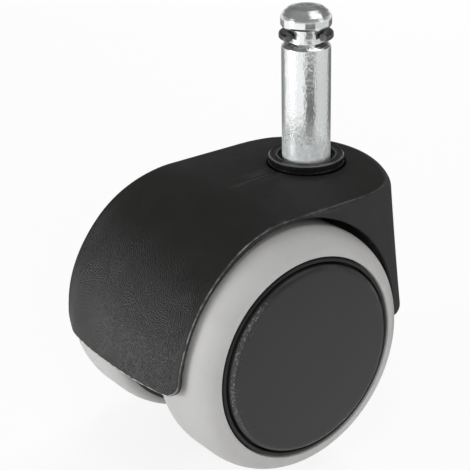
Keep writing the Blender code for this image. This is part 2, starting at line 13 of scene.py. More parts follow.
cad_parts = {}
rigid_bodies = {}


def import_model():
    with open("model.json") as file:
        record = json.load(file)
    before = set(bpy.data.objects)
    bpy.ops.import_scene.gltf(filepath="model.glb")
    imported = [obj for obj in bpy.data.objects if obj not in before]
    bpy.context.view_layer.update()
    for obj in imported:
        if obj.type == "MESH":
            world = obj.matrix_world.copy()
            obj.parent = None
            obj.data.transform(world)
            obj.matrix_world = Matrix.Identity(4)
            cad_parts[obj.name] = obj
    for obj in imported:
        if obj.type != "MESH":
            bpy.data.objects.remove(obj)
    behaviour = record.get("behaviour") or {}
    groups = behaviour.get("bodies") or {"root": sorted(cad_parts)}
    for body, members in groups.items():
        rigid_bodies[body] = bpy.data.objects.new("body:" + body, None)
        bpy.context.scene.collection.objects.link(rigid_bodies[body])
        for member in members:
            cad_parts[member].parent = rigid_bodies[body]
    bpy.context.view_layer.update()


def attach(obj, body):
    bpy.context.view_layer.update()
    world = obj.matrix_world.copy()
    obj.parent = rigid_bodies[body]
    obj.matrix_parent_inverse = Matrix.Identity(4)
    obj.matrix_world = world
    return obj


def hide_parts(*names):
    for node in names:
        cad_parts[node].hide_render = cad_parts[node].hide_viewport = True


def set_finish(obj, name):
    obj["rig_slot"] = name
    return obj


MM = 0.001

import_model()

# Sizes shared with the CAD model
AXLE = (-20.0, -29.7)
FLOOR_Z = -54.7
HOOD_TOP = -1.7
HOOD_BOTTOM = -31.2
HALF_WIDTH = 19.4
SIDES = {"left": 1, "right": -1}

# The hood's outside
CROWN_DROP = 1.1
BACK_RADIUS = 28.0
SKIRT_START = math.radians(90 - 11.5)
SIDE_ROLL = 0.35
SIDE_ROLL_START = 15.0
SIDE_FLARE = 1.4
REAR_BULGE = 0.6
NOSE_LENGTH = 15.6
NOSE_FLARE = 0.6
NOSE_CURVE_TOP = 18.0
NOSE_CURVE_CHANGE = 5.8
HEM_SLOPE = 0.014
HEM_RISE = 0.1
EDGE_ROUND = 0.35
REAR_CORNER_ROUND = 3.2
CREASE_ROUND = 0.5
NOSE_CREASE_ROUND = 4.2

# The hood's inside
BAY_RADIUS = 25.9
BAY_WIDENING = 0.4
BAY_INNER_FACE = 6.9
REAR_LIP = 0.3
TOP_WALL = 2.9
SIDE_WALL = 2.0
HOLLOW_BEHIND_AXLE = 2.0
TREAD_ROOM = 24.9
WEB_HALF = 2.5
WEB_RADIUS = 27.0
BOSS_HALF = 4.6
BOSS_RADIUS = 5.9
RIB_ROUND = 0.8
SOCKET_TOP = -2.8
SOCKET_HEAD_RADIUS = 7.9
SOCKET_HEAD_BOTTOM = -9.1
SOCKET_TAIL_RADIUS = 5.8
SOCKET_TAIL_BOTTOM = -24.1
SEAT_RADIUS = 7.95
SEAT_BOTTOM = -2.45
HEAD_BORE_RADIUS = 6.3
HEAD_BORE_BOTTOM = -7.9
TAIL_BORE_RADIUS = 4.8
AXLE_BORE_RADIUS = 3.3

# The hood's mesh: its box, the grid's step, and the share of triangles that is kept
HOOD_LOW = (-50.0, -22.5, -37.0)
HOOD_HIGH = (17.5, 22.5, -0.5)
NET_STEP = 0.33
KEPT_SHARE = 0.40

# Places at the first depth are not on an outer face, and places at the second are
FACE_DEPTHS = (-0.8, -0.3)

# Turned pieces are shaded smooth over corners that bend less than this
SHARP_ANGLE = math.radians(50)

# Fields of the hood


def smoothstep(low, high, value):
    t = np.clip((value - low) / (high - low), 0.0, 1.0)
    return t * t * (3 - 2 * t)


def both(a, b, radius):
    """The overlap of two solids, with the edge between them rounded."""
    corner = np.hypot(np.maximum(a + radius, 0.0), np.maximum(b + radius, 0.0))
    return np.minimum(-radius, np.maximum(a, b)) + corner


def either(a, b, radius):
    """Two solids joined, with the inner corner between them filled round."""
    return -both(-a, -b, radius)


def crown(y):
    return CROWN_DROP * (y / HALF_WIDTH) ** 2


def hem_height(x):
    """The hood's bottom edge, which is a little lower at the back than under the nose."""
    return HOOD_BOTTOM + HEM_SLOPE * x + HEM_RISE


def back_turn(x, z):
    """How far round the back a place is: 0 straight over the axle, 1 level with it."""
    return np.arctan2(AXLE[0] - x, z - AXLE[1]) / (math.pi / 2)


def shell_top(x, y, z):
    """The outside over the top and down the back: crowned, round the axle, then a slight flare."""
    behind = AXLE[0] - x
    above = z - AXLE[1]
    rolled_in = SIDE_ROLL * smoothstep(SIDE_ROLL_START, HALF_WIDTH, np.abs(y))
    rolled_in = rolled_in * smoothstep(0.2, 0.6, back_turn(x, z))
    radius = BACK_RADIUS - crown(y) - rolled_in
    level = z - HOOD_TOP + crown(y)
    round_back = np.hypot(behind, above) - radius
    tangent = behind * math.sin(SKIRT_START) + above * math.cos(SKIRT_START) - radius
    flare = np.clip(1 - np.abs(y / HALF_WIDTH) ** 3, 0.0, 1.0)
    skirt = flare * tangent + (1 - flare) * round_back
    back = np.where(back_turn(x, z) * math.pi / 2 < SKIRT_START, round_back, skirt)
    return np.where(behind > 0, back, level)


def shell_side(x, y, z):
    """The outline seen from above: straight flanks, an elliptic nose, and a rear that bulges a little."""
    width = np.abs(y)
    depth = np.clip((HOOD_TOP - z) / (HOOD_TOP - HOOD_BOTTOM), 0.0, 1.1)
    half = HALF_WIDTH + SIDE_FLARE * depth
    curve = NOSE_CURVE_TOP - NOSE_CURVE_CHANGE * depth
    start = NOSE_LENGTH + NOSE_FLARE * depth - curve
    ahead = np.maximum(x - start, 0.0)
    reach = np.hypot(ahead / curve, width / half)
    steep = np.hypot(ahead / curve**2, width / half**2)
    nose = reach * (reach - 1) / np.maximum(steep, 1e-6)
    turn = back_turn(x, z)
    rear_half = HALF_WIDTH + REAR_BULGE * smoothstep(0.1, 0.45, turn)
    rear_half = rear_half - REAR_BULGE * smoothstep(0.75, 1.05, turn)
    rear_half = rear_half + SIDE_FLARE * depth * (1 - smoothstep(0.0, 0.3, turn))
    return np.where(x < AXLE[0], width - rear_half, np.where(x > start, nose, width - half))


def shell_edge(x, y, z):
    """The sides and the bottom edge, with a round corner between them at the back."""
    corner = EDGE_ROUND + REAR_CORNER_ROUND * (1 - smoothstep(-45.0, -34.0, x))
    return both(shell_side(x, y, z), hem_height(x) - z, corner)


def shell_outside(x, y, z):
    """The top, sides and bottom edge, with a crisp crease that softens over the nose."""
    crease = CREASE_ROUND + NOSE_CREASE_ROUND * smoothstep(4.0, 15.0, x)
    return both(shell_top(x, y, z), shell_edge(x, y, z), crease)


def hood_field(x, y, z):
    """Below zero inside the hood's plastic."""
    width = np.abs(y)
    about_axle = np.hypot(x - AXLE[0], z - AXLE[1])
    about_stem = np.hypot(x, y)
    lip = REAR_LIP * smoothstep(17.3, 18.8, width) * smoothstep(-24.0, -28.0, x)
    bore = about_axle - (BAY_RADIUS - lip + BAY_WIDENING * smoothstep(-25.0, -16.0, x))
    inside_top = shell_top(x, y, z) + TOP_WALL
    inside_side = shell_side(x, y, z) + SIDE_WALL
    hollow = np.maximum(both(inside_top, inside_side, 1.5), AXLE[0] - HOLLOW_BEHIND_AXLE - x)
    hollow = either(bore, hollow, 0.5)
    shell = both(shell_outside(x, y, z), -hollow, 0.22)

    web = np.maximum(np.maximum(width - WEB_HALF, about_axle - WEB_RADIUS), hem_height(x) - z)
    boss = np.maximum(about_axle - BOSS_RADIUS, width - BOSS_HALF)
    bay = np.maximum(bore, BAY_INNER_FACE - width)
    below_top = z - SOCKET_TOP
    head = np.maximum(about_stem - SOCKET_HEAD_RADIUS, SOCKET_HEAD_BOTTOM - z)
    head = np.maximum(head, np.maximum(below_top, -bay))
    tail = np.maximum(about_stem - SOCKET_TAIL_RADIUS, SOCKET_TAIL_BOTTOM - z)
    tail = np.maximum(tail, below_top)
    solid = either(shell, web, RIB_ROUND)
    solid = either(solid, boss, RIB_ROUND)
    solid = either(solid, either(head, tail, 0.5), RIB_ROUND)
    solid = both(solid, -np.maximum(bay, TREAD_ROOM - about_axle), 0.2)

    seat = np.maximum(about_stem - SEAT_RADIUS, SEAT_BOTTOM - z)
    head_bore = np.maximum(about_stem - HEAD_BORE_RADIUS, HEAD_BORE_BOTTOM - z)
    tail_bore = about_stem - TAIL_BORE_RADIUS
    axle_bore = about_axle - AXLE_BORE_RADIUS
    bores = np.minimum(np.minimum(head_bore, tail_bore), np.minimum(axle_bore, seat))
    return both(solid, -bores, 0.2)


# Meshes from fields


def gradient(field, points, step=0.02):
    """The field's slope at each point, measured over a small step to either side."""
    columns = []
    for axis in range(3):
        offset = np.zeros(3)
        offset[axis] = step
        ahead = field(*(points + offset).T)
        back = field(*(points - offset).T)
        columns.append((ahead - back) / (2 * step))
    return np.stack(columns, axis=1)


def onto_surface(field, points, rounds, longest):
    """Moves points along the field's slope until they lie on its zero surface."""
    for _ in range(rounds):
        slope = gradient(field, points)
        value = field(*points.T)
        move = slope * (value / np.maximum((slope**2).sum(axis=1), 0.25))[:, None]
        length = np.maximum(np.linalg.norm(move, axis=1), 1e-9)
        points = points - move * np.minimum(1.0, longest / length)[:, None]
    return points


def relaxed(points, quads):
    """Each point drawn halfway to the middle of its neighbours."""
    total = np.zeros_like(points)
    count = np.zeros(len(points))
    for here, there in ((0, 1), (1, 2), (2, 3), (3, 0)):
        for start, end in ((here, there), (there, here)):
            for axis in range(3):
                total[:, axis] += np.bincount(quads[:, start], points[quads[:, end], axis], len(points))
            count += np.bincount(quads[:, start], minlength=len(points))
    return 0.5 * points + 0.5 * total / np.maximum(count, 1.0)[:, None]


def surface_net(field, low, high, step):
    """Points and quads of the field's zero surface, one point in each grid cell that it crosses."""
    axes = [np.arange(a, b + step, step) for a, b in zip(low, high)]
    value = field(*np.meshgrid(*axes, indexing="ij"))
    inside = value < 0
    cells = tuple(size - 1 for size in value.shape)
    place = np.zeros(cells + (3,))
    crossings = np.zeros(cells)

    def corner(array, shift):
        return array[tuple(slice(s, s + n) for s, n in zip(shift, cells))]

    for axis in range(3):
        others = [other for other in range(3) if other != axis]
        for first in (0, 1):
            for second in (0, 1):
                near = [0, 0, 0]
                near[others[0]] = first
                near[others[1]] = second
                far = list(near)
                far[axis] = 1
                cross = corner(inside, near) != corner(inside, far)
                from_value = corner(value, near)[cross]
                to_value = corner(value, far)[cross]
                spot = np.tile(np.array(near, float), (int(cross.sum()), 1))
                spot[:, axis] = from_value / (from_value - to_value)
                place[cross] += spot
                crossings[cross] += 1
    active = crossings > 0
    index = np.full(cells, -1)
    index[active] = np.arange(int(active.sum()))
    points = np.argwhere(active) + place[active] / crossings[active][:, None]
    points = np.array(low) + points * step

    quads = []
    for axis in range(3):
        u, v = [(axis + 1) % 3, (axis + 2) % 3]
        size = list(value.shape)
        start = [slice(1, n - 1) for n in size]
        start[axis] = slice(0, size[axis] - 1)
        end = list(start)
        end[axis] = slice(1, size[axis])
        change = inside[tuple(start)] != inside[tuple(end)]
        spots = np.argwhere(change)
        spots[:, u] += 1
        spots[:, v] += 1
        ring = []
        for du, dv in ((-1, -1), (0, -1), (0, 0), (-1, 0)):
            cell = spots.copy()
            cell[:, u] += du
            cell[:, v] += dv
            ring.append(index[tuple(cell.T)])
        ring = np.stack(ring, axis=1)
        outward = inside[tuple(start)][change]
        ring[~outward] = ring[~outward][:, ::-1]
        quads.append(ring)
    return points, np.concatenate(quads)


def thinned(points, faces, share):
    """The same surface with a share of its triangles, kept dense where it bends."""
    mesh = bpy.data.meshes.new("thinning")
    mesh.from_pydata(points.tolist(), [], faces.tolist())
    helper = bpy.data.objects.new("thinning", mesh)
    bpy.context.scene.collection.objects.link(helper)
    thin = helper.modifiers.new("thin", "DECIMATE")
    thin.ratio = share
    thin.use_collapse_triangulate = True
    result = helper.evaluated_get(bpy.context.evaluated_depsgraph_get()).to_mesh()
    points = np.empty(len(result.vertices) * 3)
    result.vertices.foreach_get("co", points)
    triangles = np.empty(len(result.polygons) * 3, int)
    result.loops.foreach_get("vertex_index", triangles)
    bpy.data.objects.remove(helper, do_unlink=True)
    bpy.data.meshes.remove(mesh)
    return points.reshape(-1, 3), triangles.reshape(-1, 3)


def new_piece(name, points, faces, body, slot, nodes):
    mesh = bpy.data.meshes.new(name)
    mesh.from_pydata([tuple(point) for point in np.asarray(points) * MM], [], faces)
    mesh.validate()
    piece = bpy.data.objects.new(name, mesh)
    bpy.context.scene.collection.objects.link(piece)
    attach(piece, body)
    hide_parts(*nodes)
    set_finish(piece, slot)
    return piece


# Turned pieces


def fillet(before, point, after, radius, steps):
    """Points of the arc that rounds a profile's corner."""
    back = np.array(before) - point
    ahead = np.array(after) - point
    back_length = np.linalg.norm(back)
    ahead_length = np.linalg.norm(ahead)
    back = back / back_length
    ahead = ahead / ahead_length
    half = math.acos(np.clip(back @ ahead, -1.0, 1.0)) / 2
    if half > math.radians(88):
        return [tuple(point)]
    cut = min(radius / math.tan(half), 0.45 * back_length, 0.45 * ahead_length)
    radius = cut * math.tan(half)
    middle = (back + ahead) / np.linalg.norm(back + ahead)
    centre = np.array(point) + middle * radius / math.sin(half)
    start = np.array(point) + back * cut - centre
    end = np.array(point) + ahead * cut - centre
    sweep = math.atan2(start[0] * end[1] - start[1] * end[0], start @ end)
    arc = []
    for step in range(steps + 1):
        turn = sweep * step / steps
        arc.append(
            (
                centre[0] + start[0] * math.cos(turn) - start[1] * math.sin(turn),
                centre[1] + start[0] * math.sin(turn) + start[1] * math.cos(turn),
            )
        )
    return arc


def rounded(profile, closed, steps=3):
    """A profile of (radius, height, rounding) corners as points, with its corners rounded."""
    points = []
    for number, (radius, height, rounding) in enumerate(profile):
        at_end = not closed and number in (0, len(profile) - 1)
        if rounding <= 0 or at_end:
            points.append((radius, height))
            continue
        before = profile[number - 1][:2]
        after = profile[(number + 1) % len(profile)][:2]
        points += fillet(before, (radius, height), after, rounding, steps)
    return points


def lathe(points, segments, closed):
    """Points and faces of a profile turned about Z."""
    rows = []
    verts = []
    for radius, height in points:
        if radius < 1e-6:
            rows.append([len(verts)] * segments)
            verts.append((0.0, 0.0, height))
            continue
        rows.append(list(range(len(verts), len(verts) + segments)))
        for step in range(segments):
            turn = math.tau * step / segments
            verts.append((radius * math.cos(turn), radius * math.sin(turn), height))
    faces = []
    pairs = list(zip(rows, rows[1:]))
    if closed:
        pairs.append((rows[-1], rows[0]))
    for upper, lower in pairs:
        for step in range(segments):
            following = (step + 1) % segments
            corners = [upper[step], lower[step], lower[following], upper[following]]
            corners = list(dict.fromkeys(corners))
            faces.append(corners)
    return np.array(verts), faces


def turned(name, profile, segments, closed, place, body, slot, nodes):
    """A piece turned from a profile of (radius, height, rounding) corners."""
    points, faces = lathe(rounded(profile, closed), segments, closed)
    points = np.array([place @ Vector(point) for point in points])
    piece = new_piece(name, points, faces, body, slot, nodes)
    piece.data.shade_smooth()
    piece.data.set_sharp_from_angle(angle=SHARP_ANGLE)


def ellipse_arc(centre, radii, start, end, steps):
    """Profile corners along part of an ellipse, between two angles in degrees."""
    angles = [math.radians(start + (end - start) * step / steps) for step in range(steps + 1)]
    return [(centre[0] + radii[0] * math.cos(a), centre[1] + radii[1] * math.sin(a), 0.0) for a in angles]


UPRIGHT = Matrix.Identity(4)


def wheel_place(sign):
    """Local Z runs outwards along the axle, from the caster's middle plane."""
    turn = Matrix.Rotation(-sign * math.pi / 2, 4, "X")
    return Matrix.Translation((AXLE[0], 0.0, AXLE[1])) @ turn


# Hood


def window(value, low, high, soft):
    """1 between two values and 0 outside them, with soft ends."""
    return smoothstep(low - soft, low, value) * (1 - smoothstep(high, high + soft, value))


def hood_marks(points):
    """Where the hood is grained and scratched, where its edges get a pale line that is painted highlight and
    partly wear, where its crease gets scuffs that partly paint its highlight, and how far places lie inside
    its faces.
    """
    x, y, z = points.T
    top = shell_top(x, y, z)
    flank = shell_side(x, y, z)
    # Shifts the painted highlight line along the back's edges by this much.
    line_drop = 0.22
    side = np.where(x < AXLE[0], shell_edge(x, y, z - line_drop), shell_edge(x, y, z))
    turn = back_turn(x, z)
    on_top = smoothstep(*FACE_DEPTHS, top)
    outer = smoothstep(*FACE_DEPTHS, shell_outside(x, y, z))
    grain = (0.10 + 0.90 * smoothstep(0.34, 0.62, turn)) * on_top
    grain = grain * smoothstep(-0.4, -1.4, flank) * smoothstep(0.3, 1.2, z - hem_height(x))
    calm = smoothstep(-2.0, 12.0, y) * smoothstep(-15.0, -25.0, z)
    grain = grain * (1 - 0.75 * calm)
    # Strength of the pale edge line, a painted highlight that is partly wear; the bottom edge gets it in
    # full.
    rear_edge = 0.16 + 0.24 * smoothstep(0.1, 0.3, turn)
    rear_edge = np.where(hem_height(x) - z > flank, 1.0, rear_edge)
    front_edge = 0.10 * (1 - smoothstep(4.0, 9.0, x))
    crease = np.exp(-(top**2 + flank**2) / 0.8)
    near_collar = np.exp(-(((x + 12.5) / 5.0) ** 2) - ((y + 0.8) / 2.2) ** 2) * on_top
    return {
        "top": np.clip(top, -3.0, 1.0),
        "side": np.clip(side, -3.0, 1.0),
        "inside": 1 - outer,
        "grain": grain,
        "edge": np.where(x < AXLE[0], rear_edge, front_edge),
        # Scuffs along the crease behind the collar, partly painted highlight of the crease.
        "scuff_and_highlight": crease * window(x, -24.0, -9.0, 5.0) * outer,
        "scratch": near_collar,
    }


def add_marks(piece, marks):
    """Stores the marks on the mesh, where the hood's material reads them."""
    for name, values in marks.items():
        layer = piece.data.attributes.new(name, "FLOAT", "POINT")
        layer.data.foreach_set("value", np.asarray(values, np.float32))


def make_hood():
    step = NET_STEP
    points, quads = surface_net(hood_field, HOOD_LOW, HOOD_HIGH, step)
    points = onto_surface(hood_field, points, 3, 0.3)
    for _ in range(3):
        points = relaxed(points, quads)
        points = onto_surface(hood_field, points, 2, 0.3)
    points, triangles = thinned(points, quads, KEPT_SHARE)
    points = onto_surface(hood_field, points, 2, 0.1)
    hood = new_piece("hood_shell", points, triangles.tolist(), "hood", "hood_plastic", ["hood"])
    hood.data.shade_smooth()
    slopes = gradient(hood_field, points, 0.12)
    slopes /= np.maximum(np.linalg.norm(slopes, axis=1), 1e-9)[:, None]
    hood.data.normals_split_custom_set_from_vertices(slopes.tolist())
    add_marks(hood, hood_marks(points))
    return hood


# Stem and collar


def make_stem():
    """The pin from the turned bands of its head down through the neck, shank, shoulder and spigot."""
    profile = [(0.0, 30.3, 0.0), (0.75, 30.32, 0.3), (1.25, 30.49, 0.3), (2.3, 30.46, 0.5)]
    profile += [(2.42, 30.4, 0.1), (3.45, 30.22, 0.4), (3.55, 30.14, 0.1), (4.28, 29.65, 0.3)]
    profile += [(4.35, 29.55, 0.1), (4.78, 29.0, 0.3), (5.0, 28.45, 0.3), (5.05, 28.2, 0.2)]
    profile += [(5.05, 27.0, 0.2), (4.8, 26.52, 0.12), (3.35, 26.45, 0.15), (3.2, 26.3, 0.1)]
    profile += [(3.2, 23.3, 0.15), (4.35, 23.1, 0.15), (4.9, 22.62, 0.2), (4.9, 1.2, 0.1), (4.88, 0.6, 0.1)]
    profile += [(4.9, -5.5, 0.2), (3.4, -5.5, 0.1), (3.4, -23.9, 0.1), (2.6, -24.0, 0.1)]
    profile += [(2.6, -25.4, 0.1), (3.4, -25.5, 0.1), (2.7, -26.0, 0.2), (0.0, -26.0, 0.0)]
    turned("stem", profile, 128, False, UPRIGHT, "stem", "zinc_steel", ["stem_pin"])


def make_grip_ring():
    """A split spring ring with a rounded section and square-cut ends."""
    height = 24.8
    half_gap = math.radians(47)
    facing = math.radians(230.4)
    start = facing + half_gap
    sweep = math.tau - 2 * half_gap
    section = rounded(
        [(5.4, 0.66, 0.4), (5.4, -0.66, 0.4), (3.62, -0.62, 0.3), (3.62, 0.62, 0.3)], True, 4
    )
    count = len(section)
    steps = 96
    verts = []
    for step in range(steps + 1):
        turn = start + sweep * step / steps
        for radius, rise in section:
            verts.append((radius * math.cos(turn), radius * math.sin(turn), height + rise))
    faces = []
    for step in range(steps):
        for number in range(count):
            following = (number + 1) % count
            here = step * count
            there = here + count
            faces.append([here + number, there + number, there + following, here + following])
    faces.append(list(range(count)))
    faces.append([steps * count + number for number in reversed(range(count))])
    ring = new_piece("split_ring", verts, faces, "stem", "spring_steel", ["grip_ring"])
    ring.data.shade_smooth()
    ring.data.set_sharp_from_angle(angle=SHARP_ANGLE)


def make_collar():
    """The flanged bush, with a fine groove round its flange."""
    profile = [(7.42, -0.02, 0.06), (7.65, -0.22, 0.08), (7.65, -1.25, 0.05), (7.57, -1.31, 0.04)]
    profile += [(7.57, -1.4, 0.04), (7.7, -1.46, 0.05), (7.7, -1.68, 0.05), (7.6, -1.74, 0.04)]
    profile += [(7.6, -2.2, 0.1), (6.0, -2.22, 0.1), (6.0, -7.6, 0.2), (4.5, -7.6, 0.2), (4.5, -23.8, 0.2)]
    profile += [(3.7, -23.8, 0.1), (3.7, -6.8, 0.1), (5.2, -6.8, 0.1), (5.2, -0.9, 0.15)]
    profile += [(5.7, -0.85, 0.1), (5.78, -0.12, 0.12), (6.15, -0.02, 0.15), (6.25, -0.12, 0.05)]
    profile += [(7.18, -0.14, 0.05)]
    turned("collar", profile, 128, True, UPRIGHT, "hood", "bush_plastic", ["stem_bush"])


def make_stem_rings():
    washer = [(4.9, -5.8, 0.1), (4.9, -6.5, 0.1), (3.7, -6.5, 0.1), (3.7, -5.8, 0.1)]
    turned("stem_washer", washer, 64, True, UPRIGHT, "stem", "zinc_steel", ["thrust_washer"])
    ring = [(4.5, -24.4, 0.12), (4.5, -25.2, 0.12), (2.9, -25.2, 0.1), (2.9, -24.4, 0.1)]
    turned("stem_clip", ring, 64, True, UPRIGHT, "stem", "spring_steel", ["stem_retaining_ring"])


# Wheels


def tread_profile():
    profile = [(20.5, 8.55, 0.2), (20.5, 24.62, 0.0), (20.6, 24.78, 0.0)]
    profile += ellipse_arc((20.7, 18.3), (4.3, 6.5), 90, 0, 22)
    profile += ellipse_arc((22.9, 13.0), (2.1, 4.5), 0, -90, 16)
    return profile


def core_profile():
    return [
        (20.2, 24.62, 0.0),
        (20.2, 8.2, 0.1),
        (22.6, 8.2, 0.2),
        (22.6, 7.2, 0.35),
        (18.2, 7.2, 0.3),
        (18.0, 9.2, 0.4),
        (7.8, 9.2, 0.5),
        (7.6, 7.1, 0.25),
        (5.0, 7.1, 0.2),
        (5.0, 17.3, 0.2),
        (7.6, 17.3, 0.2),
        (7.6, 11.2, 0.4),
        (18.2, 11.2, 0.4),
        (18.2, 23.35, 0.1),
        (19.4, 23.35, 0.1),
        (19.4, 24.55, 0.15),
        (19.62, 24.8, 0.12),
        (19.98, 24.78, 0.1),
    ]


def cap_profile():
    profile = [(0.0, 25.75, 0.0), (9.0, 25.75, 0.0), (17.4, 25.74, 0.0)]
    profile += [(18.32, 25.7, 0.9), (19.02, 25.12, 0.7), (19.1, 24.4, 0.2)]
    profile += [(19.1, 23.65, 0.1), (17.9, 23.65, 0.1), (17.9, 20.45, 0.15), (16.4, 20.45, 0.15)]
    profile += [(16.4, 23.95, 0.3), (0.0, 23.95, 0.0)]
    return profile


def make_wheel(side, sign):
    place = wheel_place(sign)
    body = f"wheel_{side}"

    def piece(name, profile, segments, closed, rider, slot, node):
        turned(f"{name}_{side}", profile, segments, closed, place, rider, slot, [f"{node}_{side}"])

    bush = [(4.7, 17.3, 0.15), (4.7, 6.8, 0.1), (6.4, 6.8, 0.15)]
    bush += [(6.4, 6.0, 0.15), (3.3, 6.0, 0.15), (3.3, 17.3, 0.15)]
    inner = [(6.0, 5.7, 0.12), (6.0, 4.9, 0.12), (3.3, 4.9, 0.1), (3.3, 5.7, 0.1)]
    outer = [(6.0, 18.4, 0.12), (6.0, 17.6, 0.12), (3.3, 17.6, 0.1), (3.3, 18.4, 0.1)]
    clip = [(5.2, 19.7, 0.15), (5.2, 18.7, 0.15), (2.7, 18.7, 0.1), (2.7, 19.7, 0.1)]
    piece("tyre", tread_profile(), 160, True, body, "grey_tyre", "tread")
    piece("rim", core_profile(), 160, True, body, "wheel_plastic", "wheel_core")
    piece("cover", cap_profile(), 160, False, body, "cap_plastic", "wheel_cap")
    piece("hub_liner", bush, 64, True, body, "bush_plastic", "hub_bush")
    piece("washer_in", inner, 64, True, "hood", "zinc_steel", "inner_washer")
    piece("washer_out", outer, 64, True, "hood", "zinc_steel", "outer_washer")
    piece("clip", clip, 64, True, "hood", "spring_steel", "axle_clip")


def make_axle():
    upper = [(0.0, 20.8, 0.0), (2.6, 20.8, 0.1), (3.0, 20.4, 0.1), (3.0, 20.0, 0.05), (2.4, 20.0, 0.05)]
    upper += [(2.4, 18.4, 0.05), (3.0, 18.4, 0.05)]
    lower = [(radius, -height, rounding) for radius, height, rounding in reversed(upper)]
    turned("axle_pin", upper + lower, 64, False, wheel_place(1), "hood", "zinc_steel", ["axle"])


# Materials


def add_node(tree, kind, inputs=None, **settings):
    """A node with its settings, and its inputs set to values or linked to sockets."""
    node = tree.nodes.new(kind)
    for name, value in settings.items():
        setattr(node, name, value)
    for name, value in (inputs or {}).items():
        if isinstance(value, bpy.types.NodeSocket):
            tree.links.new(value, node.inputs[name])
        else:
            node.inputs[name].default_value = value
    return node


def maths(tree, operation, first, second=0.0):
    return add_node(tree, "ShaderNodeMath", {0: first, 1: second}, operation=operation).outputs[0]


def remap(tree, value, low, high, to_low=0.0, to_high=1.0):
    """A value eased from one range into another, and held at its ends."""
    inputs = {"Value": value, "From Min": low, "From Max": high, "To Min": to_low, "To Max": to_high}
    node = add_node(tree, "ShaderNodeMapRange", inputs, interpolation_type="SMOOTHSTEP")
    return node.outputs["Result"]


def mixed(tree, amount, first, second):
    """Two colours mixed."""
    return add_node(tree, "ShaderNodeMix", {0: amount, 6: first, 7: second}, data_type="RGBA").outputs[2]


def millimetres(tree, stretch=(1.0, 1.0, 1.0)):
    """The piece's own coordinates in millimetres, with each axis stretched."""
    source = add_node(tree, "ShaderNodeTexCoord").outputs["Object"]
    scale = [value / MM for value in stretch]
    return add_node(tree, "ShaderNodeMapping", {"Vector": source, "Scale": scale}).outputs[0]


def noise(tree, place, scale, detail=2.0, roughness=0.5, distortion=0.0):
    inputs = {
        "Vector": place,
        "Scale": scale,
        "Detail": detail,
        "Roughness": roughness,
        "Distortion": distortion,
    }
    return add_node(tree, "ShaderNodeTexNoise", inputs).outputs["Fac"]


def attribute(tree, name):
    return add_node(tree, "ShaderNodeAttribute", attribute_name=name).outputs["Fac"]


def bump(tree, height, depth, before=None):
    """A bump of a height from 0 to 1, this many millimetres deep, on top of another."""
    inputs = {"Height": height, "Distance": depth * MM}
    if before is not None:
        inputs["Normal"] = before
    return add_node(tree, "ShaderNodeBump", inputs).outputs["Normal"]


def grey(level, warmth=0.0):
    return (level, level * (1 - warmth / 3), level * (1 - warmth), 1.0)


def new_material(name, colour, roughness, metallic=0.0):
    material = bpy.data.materials.new(name)
    material.use_nodes = True
    shader = material.node_tree.nodes["Principled BSDF"]
    shader.inputs["Base Color"].default_value = colour
    shader.inputs["Roughness"].default_value = roughness
    shader.inputs["Metallic"].default_value = metallic
    return material, material.node_tree, shader


def connect(tree, shader, colour=None, roughness=None, normal=None):
    for name, socket in (("Base Color", colour), ("Roughness", roughness), ("Normal", normal)):
        if socket is not None:
            tree.links.new(socket, shader.inputs[name])


def leather_grain(tree, place):
    """Short wavy ripples about 0.4 mm apart, whose direction drifts over the surface."""
    drift = noise(tree, place, 0.13, 1.0)
    angle = remap(tree, drift, 0.25, 0.75, -1.3, 0.9)
    across = maths(tree, "COSINE", angle)
    upright = maths(tree, "SINE", angle)
    direction = add_node(tree, "ShaderNodeCombineXYZ", {"X": 0.25, "Y": across, "Z": upright}).outputs[0]
    ripples = add_node(
        tree,
        "ShaderNodeTexGabor",
        {"Vector": place, "Scale": 2.1, "Frequency": 1.15, "Anisotropy": 0.72, "Orientation 3D": direction},
        gabor_type="3D",
    )
    return ripples.outputs["Value"]


def edge_line(tree):
    """A thin line along the hood's outer edges, where its faces lie equally deep, for the pale line that
    paints their highlight and partly their wear.
    """
    top = attribute(tree, "top")
    side = attribute(tree, "side")
    apart = maths(tree, "ABSOLUTE", maths(tree, "SUBTRACT", top, side))
    near = remap(tree, maths(tree, "MAXIMUM", top, side), -0.40, -0.25)
    return maths(tree, "MULTIPLY", remap(tree, apart, 0.26, 0.04), near)


